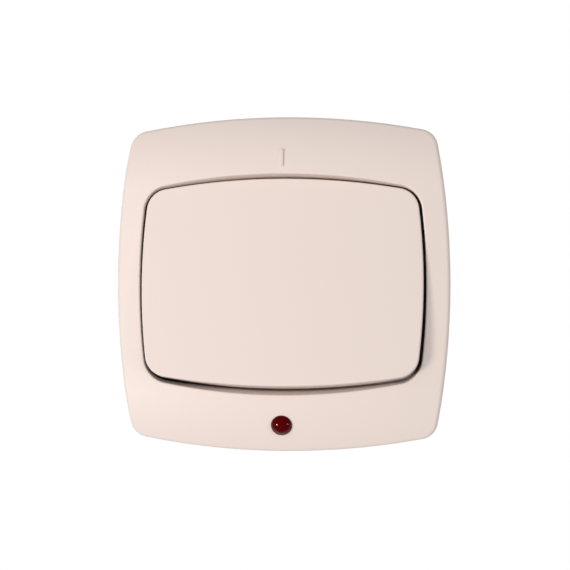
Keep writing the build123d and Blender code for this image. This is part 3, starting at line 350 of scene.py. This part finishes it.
RESISTOR_HALF = 3.2
RESISTOR_SCALES = (700.0, 3000.0)
RESISTOR_ROUGH = (0.25, 0.35)
RESISTOR_TAN = (0.62, 0.47, 0.28, 1.0)
BAND_SHARE = 0.09
LAST_STOP = 0.99
RESISTOR_BANDS = (
    (0.18, (0.12, 0.05, 0.02, 1.0)),
    (0.36, (0.02, 0.02, 0.02, 1.0)),
    (0.54, (0.75, 0.55, 0.03, 1.0)),
    (0.76, (0.60, 0.42, 0.12, 1.0)),
)


def resistor_coat():
    """Tan lacquer with colour bands along X."""
    made, tree, shader = material("resistor_coat")
    along = between(tree, own_axes(tree)["X"], -RESISTOR_HALF * MM, RESISTOR_HALF * MM)
    bands = add(tree, "ShaderNodeValToRGB", {"Fac": along})
    stops = bands.color_ramp.elements
    bands.color_ramp.interpolation = "CONSTANT"
    stops[0].color = RESISTOR_TAN
    stops[1].position = LAST_STOP
    stops[1].color = RESISTOR_TAN
    for spot, colour in RESISTOR_BANDS:
        stops.new(spot).color = colour
        stops.new(spot + BAND_SHARE).color = RESISTOR_TAN
    tree.links.new(bands.outputs["Color"], shader.inputs["Base Color"])
    skin = moulded_skin(tree, *RESISTOR_SCALES)
    tree.links.new(spread(tree, skin["Tone"], *RESISTOR_ROUGH), shader.inputs["Roughness"])
    return made


finish = {
    "cream_plastic": cream,
    "red_lens": red_lens(),
    "zinc_steel": zinc,
    "base_plastic": base_plastic,
    "carrier_plastic": carrier_plastic,
    "plunger_plastic": plunger_plastic,
    "spring_steel": spring_steel,
    "brass": brass,
    "silver": silver,
    "lamp_glass": lamp_glass(),
    "resistor_coat": resistor_coat(),
    "lead_cover": lead_cover,
}
for name, piece in nodes.items():
    piece.data.materials.clear()
    piece.data.materials.append(finish[slot_of[name]])
for name, coat in (("cover_frame", frame_cream_shaded), ("rocker_key", key_cream_shaded)):
    nodes[name].data.materials[0] = coat


# Made pieces
def piece_from_mesh(name, mesh, body, slot):
    """Object at the origin that rides on a body and takes a material slot."""
    made = bpy.data.objects.new(name, mesh)
    scene.collection.objects.link(made)
    if not mesh.materials:
        mesh.materials.append(finish[slot])
    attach(made, body)
    return made


def plain_mesh(made, name):
    """Mesh of an object with its modifiers worked in; the object is then removed."""
    view = bpy.context.evaluated_depsgraph_get()
    mesh = bpy.data.meshes.new_from_object(made.evaluated_get(view))
    bpy.data.objects.remove(made)
    mesh.name = name
    return mesh


def soften(mesh, angle):
    """Smooth shading with sharp edges above an angle."""
    mesh.shade_smooth()
    mesh.set_sharp_from_angle(angle=angle)


EVEN_WEIGHT = 100
EDGE_BEND = math.radians(30)
EDGE_SEGMENTS = 3


def evened(mesh, name, edge=None):
    """Mesh with its normals evened out, after rounding its edges where a width is given."""
    made = bpy.data.objects.new(name, mesh)
    scene.collection.objects.link(made)
    if edge:
        ease = made.modifiers.new("edges", "BEVEL")
        ease.width = edge
        ease.segments = EDGE_SEGMENTS
        ease.limit_method = "ANGLE"
        ease.angle_limit = EDGE_BEND
        ease.use_clamp_overlap = True
        ease.miter_outer = "MITER_ARC"
    even = made.modifiers.new("normals", "WEIGHTED_NORMAL")
    even.weight = EVEN_WEIGHT
    even.keep_sharp = True
    return plain_mesh(made, name)


MARK_CENTRE = 30.35
MARK_LENGTH = 4.0
MARK_WIDTH = 0.95
MARK_STAND = 0.38
MARK_SUNK = 0.3
MARK_EDGE = 0.07
MARK_STATIONS = 12


def front_height(z):
    """Height of the frame's front above the wall, and its slope angle, at x = 0."""
    past = max(abs(z) - FRAME_STRAIGHT, 0.0)
    angle = math.asin(past / FRAME_ROLL)
    return FRAME_CREST - FRAME_ROLL * (1 - math.cos(angle)), angle


def raised_mark():
    """Upright bar moulded on the frame above the key, following its curved front."""
    bm = bmesh.new()
    rings = []
    for step in range(MARK_STATIONS + 1):
        z = MARK_CENTRE + MARK_LENGTH * (step / MARK_STATIONS - 0.5)
        height, angle = front_height(z)
        out = Vector((0, -math.cos(angle), math.sin(angle)))
        seat = Vector((0, -height, z))
        ring = []
        for side, stand in ((-1, -MARK_SUNK), (1, -MARK_SUNK), (1, MARK_STAND), (-1, MARK_STAND)):
            spot = seat + out * stand + Vector((side * MARK_WIDTH / 2, 0, 0))
            ring.append(bm.verts.new(spot * MM))
        rings.append(ring)
    for low, high in zip(rings, rings[1:]):
        for k in range(4):
            bm.faces.new((low[k], low[(k + 1) % 4], high[(k + 1) % 4], high[k]))
    bm.faces.new(rings[0][::-1])
    bm.faces.new(rings[-1])
    bmesh.ops.recalc_face_normals(bm, faces=bm.faces)
    mesh = bpy.data.meshes.new("on_mark")
    bm.to_mesh(mesh)
    bm.free()
    mesh.shade_smooth()
    mesh = evened(mesh, "on_mark", MARK_EDGE * MM)
    piece_from_mesh("on_mark", mesh, "switch_body", "cream_plastic")


raised_mark()

SCREW_SIZES = [
    "Shank Radius", "Shank Length", "Plain Length", "Pitch", "Thread Depth", "Point",
    "Head Radius", "Head Height", "Head Edge", "Slot Width", "Slot Depth",
]
SHANK_SIDES = 32
HEAD_SIDES = 48
HEAD_RINGS = 26
STEPS_A_PITCH = 8
SCREW_SHARP = math.radians(40)


def screw_tree():
    """Slotted screws on the vertices of a mesh, head towards +Z before they are turned."""
    tree = bpy.data.node_groups.new("slotted_screws", "GeometryNodeTree")
    socket(tree, "Geometry", "NodeSocketGeometry", "INPUT")
    for label in SCREW_SIZES:
        socket(tree, label, "NodeSocketFloat", "INPUT")
    socket(tree, "Steps", "NodeSocketInt", "INPUT")
    socket(tree, "Turn", "NodeSocketRotation", "INPUT")
    socket(tree, "Material", "NodeSocketMaterial", "INPUT")
    socket(tree, "Geometry", "NodeSocketGeometry", "OUTPUT")
    size = tree.nodes.new("NodeGroupInput").outputs
    end = tree.nodes.new("NodeGroupOutput")

    # Shank from the seat downwards, with a helical thread and a blunt point
    shape = {"Vertices": SHANK_SIDES, "Side Segments": size["Steps"]}
    shape.update({"Radius": size["Shank Radius"], "Depth": size["Shank Length"]})
    rod = add(tree, "GeometryNodeMeshCylinder", shape, fill_type="NGON").outputs["Mesh"]
    half = maths(tree, "MULTIPLY", size["Shank Length"], -0.5)
    down = add(tree, "ShaderNodeCombineXYZ", {"Z": half}).outputs[0]
    lowered = add(tree, "GeometryNodeTransform", {"Geometry": rod, "Translation": down}).outputs[0]
    spot = add(tree, "GeometryNodeInputPosition").outputs[0]
    part = add(tree, "ShaderNodeSeparateXYZ", {"Vector": spot}).outputs
    around = maths(tree, "DIVIDE", maths(tree, "ARCTAN2", part["Y"], part["X"]), 2 * math.pi)
    climb = maths(tree, "DIVIDE", part["Z"], size["Pitch"])
    turn = maths(tree, "FRACT", maths(tree, "SUBTRACT", climb, around))
    ridge = maths(tree, "ABSOLUTE", maths(tree, "SUBTRACT", maths(tree, "MULTIPLY", turn, 2.0), 1.0))
    below = maths(tree, "MULTIPLY", part["Z"], -1.0)
    threaded = maths(tree, "GREATER_THAN", below, size["Plain Length"])
    groove = maths(tree, "MULTIPLY", maths(tree, "MULTIPLY", ridge, threaded), size["Thread Depth"])
    left = maths(tree, "SUBTRACT", size["Shank Length"], below)
    blunt = maths(tree, "MAXIMUM", maths(tree, "SUBTRACT", size["Point"], left), 0.0)
    inward = maths(tree, "DIVIDE", maths(tree, "MAXIMUM", groove, blunt), size["Shank Radius"])
    flat = add(tree, "ShaderNodeCombineXYZ", {"X": part["X"], "Y": part["Y"]})
    closer = {0: flat.outputs[0], "Scale": maths(tree, "MULTIPLY", inward, -1.0)}
    shift = add(tree, "ShaderNodeVectorMath", closer, operation="SCALE").outputs[0]
    shank = add(tree, "GeometryNodeSetPosition", {"Geometry": lowered, "Offset": shift}).outputs[0]

    # Head turned with a rounded upper edge
    top = add(tree, "ShaderNodeCombineXYZ", {"Z": size["Head Height"]}).outputs[0]
    axis = add(tree, "GeometryNodeCurvePrimitiveLine", {"End": top}).outputs[0]
    fine = add(tree, "GeometryNodeResampleCurve", {"Curve": axis, "Count": HEAD_RINGS}).outputs[0]
    start = maths(tree, "SUBTRACT", size["Head Height"], size["Head Edge"])
    over = maths(tree, "MAXIMUM", maths(tree, "SUBTRACT", part["Z"], start), 0.0)
    edge_square = maths(tree, "POWER", size["Head Edge"], 2.0)
    square = maths(tree, "SUBTRACT", edge_square, maths(tree, "POWER", over, 2.0))
    rest = maths(tree, "SQRT", maths(tree, "MAXIMUM", square, 0.0))
    round_in = maths(tree, "SUBTRACT", size["Head Edge"], rest)
    radius = maths(tree, "SUBTRACT", size["Head Radius"], round_in)
    ring = add(tree, "GeometryNodeCurvePrimitiveCircle", {"Resolution": HEAD_SIDES, "Radius": 1.0}).outputs[0]
    turned = {"Curve": fine, "Profile Curve": ring, "Scale": radius, "Fill Caps": True}
    head = add(tree, "GeometryNodeCurveToMesh", turned).outputs[0]

    # The slot's cutter reaches past the head on both sides and stands half above it
    reach = maths(tree, "MULTIPLY", size["Head Radius"], 3.0)
    deep = maths(tree, "MULTIPLY", size["Slot Depth"], 2.0)
    blade = add(tree, "ShaderNodeCombineXYZ", {"X": reach, "Y": size["Slot Width"], "Z": deep}).outputs[0]
    bar = add(tree, "GeometryNodeMeshCube", {"Size": blade}).outputs["Mesh"]
    lifted = add(tree, "GeometryNodeTransform", {"Geometry": bar, "Translation": top}).outputs[0]
    cut = add(tree, "GeometryNodeMeshBoolean", operation="DIFFERENCE", solver="EXACT")
    tree.links.new(head, cut.inputs["Mesh 1"])
    tree.links.new(lifted, cut.inputs["Mesh 2"])

    whole = add(tree, "GeometryNodeJoinGeometry")
    tree.links.new(shank, whole.inputs[0])
    tree.links.new(cut.outputs["Mesh"], whole.inputs[0])
    seats = {"Points": size["Geometry"], "Instance": whole.outputs[0], "Rotation": size["Turn"]}
    placed = add(tree, "GeometryNodeInstanceOnPoints", seats).outputs[0]
    solid = add(tree, "GeometryNodeRealizeInstances", {"Geometry": placed}).outputs[0]
    dressed = add(tree, "GeometryNodeSetMaterial", {"Geometry": solid, "Material": size["Material"]})
    tree.links.new(dressed.outputs[0], end.inputs[0])
    return tree


SLOTTED = screw_tree()


def screws(node, spots, turn, sizes):
    """Threaded screws in place of a node of plain ones; sizes in the order of SCREW_SIZES."""
    size = dict(zip(SCREW_SIZES, sizes))
    seat = bpy.data.meshes.new(node + "_seats")
    seat.from_pydata([Vector(spot) * MM for spot in spots], [], [])
    made = bpy.data.objects.new(node + "_turned", seat)
    scene.collection.objects.link(made)
    build = made.modifiers.new("screws", "NODES")
    build.node_group = SLOTTED
    identifier = {row.name: row.identifier for row in SLOTTED.interface.items_tree if row.in_out == "INPUT"}
    for label, value in size.items():
        build[identifier[label]] = value * MM
    build[identifier["Steps"]] = int(size["Shank Length"] / size["Pitch"] * STEPS_A_PITCH)
    build[identifier["Turn"]] = turn
    build[identifier["Material"]] = finish["zinc_steel"]
    mesh = plain_mesh(made, node + "_turned")
    soften(mesh, SCREW_SHARP)
    piece = piece_from_mesh(node + "_turned", mesh, "switch_body", "zinc_steel")
    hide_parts(node)


OUTWARD = (math.radians(90), 0.0, 0.0)
INWARD = (math.radians(-90), 0.0, 0.0)
FRAME_SCREW_SPOTS = [(0, -2.4, 19.5), (0, -2.4, -19.5)]
CLAW_SCREW_SPOTS = [(23.5, -1.2, 0), (-23.5, -1.2, 0)]
TERMINAL_SCREW_SPOTS = [(13.2, 20.56, -9.9), (-13.2, 20.56, -9.9)]
FRAME_SCREW = (1.45, 9.0, 0.4, 0.5, 0.22, 0.35, 2.7, 1.7, 0.9, 0.7, 0.8)
CLAW_SCREW = (1.5, 19.0, 1.5, 0.5, 0.22, 0.4, 2.6, 1.8, 0.5, 0.7, 0.8)
TERMINAL_SCREW = (1.3, 2.3, 0.2, 0.45, 0.2, 0.3, 2.3, 1.5, 0.4, 0.7, 0.8)
screws("frame_screws", FRAME_SCREW_SPOTS, OUTWARD, FRAME_SCREW)
screws("claw_screws", CLAW_SCREW_SPOTS, OUTWARD, CLAW_SCREW)
screws("terminal_screws", TERMINAL_SCREW_SPOTS, INWARD, TERMINAL_SCREW)

EASE_ANGLE = math.radians(35)
EASE_SHARP = math.radians(50)
EASE_ROUNDS = 8
EASE_SEGMENTS = 2
EASE_REACH = 1.5
SMALL_FACE = 4
MERGE = 0.002
FLAT = math.radians(0.6)
NO_AREA = 1e-12


def merged(node):
    """Copy of a node's triangles, joined to one skin."""
    bm = bmesh.new()
    bm.from_mesh(nodes[node].data)
    bmesh.ops.remove_doubles(bm, verts=bm.verts, dist=MERGE * MM)
    return bm


def faults(bm, width):
    """Places where the faces of a rounded mesh fold over or cut through others; makes it triangles."""
    bm.normal_update()
    source = bm.faces.layers.int.new("source")
    facing = []
    for number, face in enumerate(bm.faces):
        face[source] = number
        facing.append(face.normal.copy())
    bmesh.ops.triangulate(bm, faces=bm.faces)
    bm.normal_update()
    bm.faces.ensure_lookup_table()
    bad = [f for f in bm.faces if f.calc_area() > NO_AREA and f.normal.dot(facing[f[source]]) < 0]
    skin = BVHTree.FromBMesh(bm)
    for first, second in skin.overlap(skin):
        pair = bm.faces[first], bm.faces[second]
        if not set(pair[0].verts) & set(pair[1].verts):
            bad.extend(pair)
    spots = []
    for face in bad:
        spots.append(face.calc_center_median())
        if max(edge.calc_length() for edge in face.edges) < SMALL_FACE * width:
            spots.extend(vert.co.copy() for vert in face.verts)
    return spots


def clear_of(edge, tree, reach):
    """Whether an edge keeps away from all the places in a tree."""
    start, end = (vert.co for vert in edge.verts)
    for spot, _, _ in tree.find_range((start + end) / 2, edge.calc_length() / 2 + reach):
        share = intersect_point_line(spot, start, end)[1]
        if (start.lerp(end, min(max(share, 0.0), 1.0)) - spot).length < reach:
            return False
    return True


def rounded(bm, width):
    """Rounds the sharp edges of a skin, apart from those that have no room for it."""
    bmesh.ops.dissolve_limit(bm, angle_limit=FLAT, verts=bm.verts, edges=bm.edges)
    bm.edges.index_update()
    bm.edges.ensure_lookup_table()
    sharp = [e.index for e in bm.edges if e.is_manifold and e.calc_face_angle() > EASE_ANGLE]
    for _ in range(EASE_ROUNDS):
        eased = bm.copy()
        eased.edges.ensure_lookup_table()
        bmesh.ops.bevel(
            eased,
            geom=[eased.edges[number] for number in sharp],
            offset=width,
            offset_type="OFFSET",
            segments=EASE_SEGMENTS,
            profile=0.5,
            affect="EDGES",
            clamp_overlap=False,
            loop_slide=True,
        )
        tested = eased.copy()
        spots = faults(tested, width)
        tested.free()
        if not spots:
            return eased
        eased.free()
        tree = KDTree(len(spots))
        for number, spot in enumerate(spots):
            tree.insert(spot, number)
        tree.balance()
        sharp = [number for number in sharp if clear_of(bm.edges[number], tree, EASE_REACH * width)]
    return bm.copy()


def eased_copy(node, body, width):
    """Copy of a stamped or moulded piece with its edges rounded."""
    skin = merged(node)
    eased = rounded(skin, width * MM)
    mesh = bpy.data.meshes.new(node + "_eased")
    eased.to_mesh(mesh)
    eased.free()
    skin.free()
    mesh.materials.append(finish[slot_of[node]])
    soften(mesh, EASE_SHARP)
    mesh = evened(mesh, node + "_eased")
    piece = piece_from_mesh(node + "_eased", mesh, body, slot_of[node])
    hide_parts(node)


for node, body, width in (
    ("mechanism_base", "switch_body", 0.25),
    ("support_plate", "switch_body", 0.12),
    ("claw_left", "left_claw", 0.12),
    ("claw_right", "right_claw", 0.12),
    ("terminal_block_left", "switch_body", 0.15),
    ("terminal_block_right", "switch_body", 0.15),
    ("lamp_holder", "switch_body", 0.15),
):
    eased_copy(node, body, width)

SPRING_SHARP = math.radians(32)


def wound_spring():
    """Spring behind the plunger, as a smooth copy that rides on the rocker."""
    skin = merged("plunger_spring")
    mesh = bpy.data.meshes.new("plunger_spring_wound")
    skin.to_mesh(mesh)
    skin.free()
    soften(mesh, SPRING_SHARP)
    piece = piece_from_mesh("plunger_spring_wound", mesh, "rocker", "spring_steel")
    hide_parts("plunger_spring")
    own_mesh(piece)


wound_spring()


# Stage: pale floor far below, white surroundings, two soft lamps in front and two behind
FLOOR_DROP = 1.2
FLOOR_HALF = 1.3
FLOOR_BACK = 1.35
FLOOR_COLOUR = (0.86, 0.86, 0.86, 1.0)
FLOOR_ROUGH = 0.9
FLOOR_GLOW = 0.66


def floor_material():
    """Matt pale surface that looks white to the camera and keeps shadows."""
    made, tree, shader = material("floor")
    shader.inputs["Base Color"].default_value = FLOOR_COLOUR
    shader.inputs["Roughness"].default_value = FLOOR_ROUGH
    path = add(tree, "ShaderNodeLightPath").outputs
    seen = maths(tree, "ADD", path["Is Camera Ray"], path["Is Glossy Ray"])
    seen = maths(tree, "ADD", seen, path["Is Transmission Ray"])
    shader.inputs["Emission Color"].default_value = (1.0, 1.0, 1.0, 1.0)
    tree.links.new(maths(tree, "MULTIPLY", seen, FLOOR_GLOW), shader.inputs["Emission Strength"])
    return made


bm = bmesh.new()
bmesh.ops.create_grid(bm, x_segments=2, y_segments=2, size=FLOOR_HALF)
floor_mesh = bpy.data.meshes.new("floor")
bm.to_mesh(floor_mesh)
bm.free()
floor = bpy.data.objects.new("floor", floor_mesh)
floor.location = (0, FLOOR_BACK, -FLOOR_DROP)
floor_mesh.materials.append(floor_material())
scene.collection.objects.link(floor)

AMBIENT = 0.27
ROOM_LIGHT = 0.975
ROOM_DIM = 0.05
ROOM_END = -1.0
ROOM_EDGE = -0.3
BACKDROP_EDGE = 0.3
world = bpy.data.worlds.new("surroundings")
world.use_nodes = True
scene.world = world
sky = world.node_tree
background = sky.nodes["Background"]
path = add(sky, "ShaderNodeLightPath")
where = add(sky, "ShaderNodeTexCoord")
way = add(sky, "ShaderNodeSeparateXYZ", {"Vector": where.outputs["Generated"]})

# Soft light, mostly from the room in front; mirrored, a white backdrop behind the switch and a dim room
soft_light = between(sky, way.outputs["Y"], ROOM_END, ROOM_EDGE, ROOM_LIGHT, AMBIENT)
backdrop = between(sky, way.outputs["Y"], ROOM_EDGE, BACKDROP_EDGE, ROOM_DIM, 1.0)
mirrored = maths(sky, "ADD", path.outputs["Is Glossy Ray"], path.outputs["Is Transmission Ray"])
shown = maths(sky, "MULTIPLY", maths(sky, "MINIMUM", mirrored, 1.0), backdrop)
spread_light = maths(sky, "MULTIPLY", path.outputs["Is Diffuse Ray"], soft_light)
strength = maths(sky, "MAXIMUM", maths(sky, "MAXIMUM", shown, path.outputs["Is Camera Ray"]), spread_light)
sky.links.new(strength, background.inputs["Strength"])
background.inputs["Color"].default_value = (1.0, 1.0, 1.0, 1.0)

WARM = (1.0, 0.925, 0.88)
WHITE = (1.0, 1.0, 1.0)


def softbox(name, azimuth, elevation, distance, size, power, colour=WHITE):
    """Square soft lamp that faces the switch."""
    lamp = bpy.data.lights.new(name, "AREA")
    lamp.shape = "SQUARE"
    lamp.size = size
    lamp.energy = power
    lamp.color = colour
    holder = bpy.data.objects.new(name, lamp)
    holder.location = direction(azimuth, elevation) * distance
    holder.rotation_euler = (-holder.location).to_track_quat("-Z", "Y").to_euler()
    scene.collection.objects.link(holder)
    return holder


softbox("left_lamp", azimuth=-44.0, elevation=-11.0, distance=1.65, size=0.36, power=13.6, colour=WARM)
softbox("right_lamp", azimuth=56.0, elevation=-8.0, distance=1.5, size=0.10, power=1.9)
# The rear lamps aren't mirrored, so the zinc plate shows the backdrop and doesn't clip
rear_left = softbox("rear_left_lamp", azimuth=-145.0, elevation=16.0, distance=1.7, size=1.30, power=10.0)
rear_right = softbox("rear_right_lamp", azimuth=150.0, elevation=10.0, distance=1.7, size=1.30, power=6.5)
rear_left.visible_glossy = False
rear_right.visible_glossy = False

# Camera at the photograph's angle
lens = bpy.data.cameras.new("camera")
lens.sensor_width = SENSOR
lens.lens = SENSOR * CAMERA_DISTANCE / VIEW_WIDTH
lens.clip_start = NEAREST
lens.clip_end = FARTHEST
camera = bpy.data.objects.new("camera", lens)
camera.location = AIM + direction(CAMERA_AZIMUTH, CAMERA_ELEVATION) * CAMERA_DISTANCE
camera.rotation_euler = (AIM - camera.location).to_track_quat("-Z", "Y").to_euler()
scene.collection.objects.link(camera)
scene.camera = camera
scene.view_settings.view_transform = "Standard"
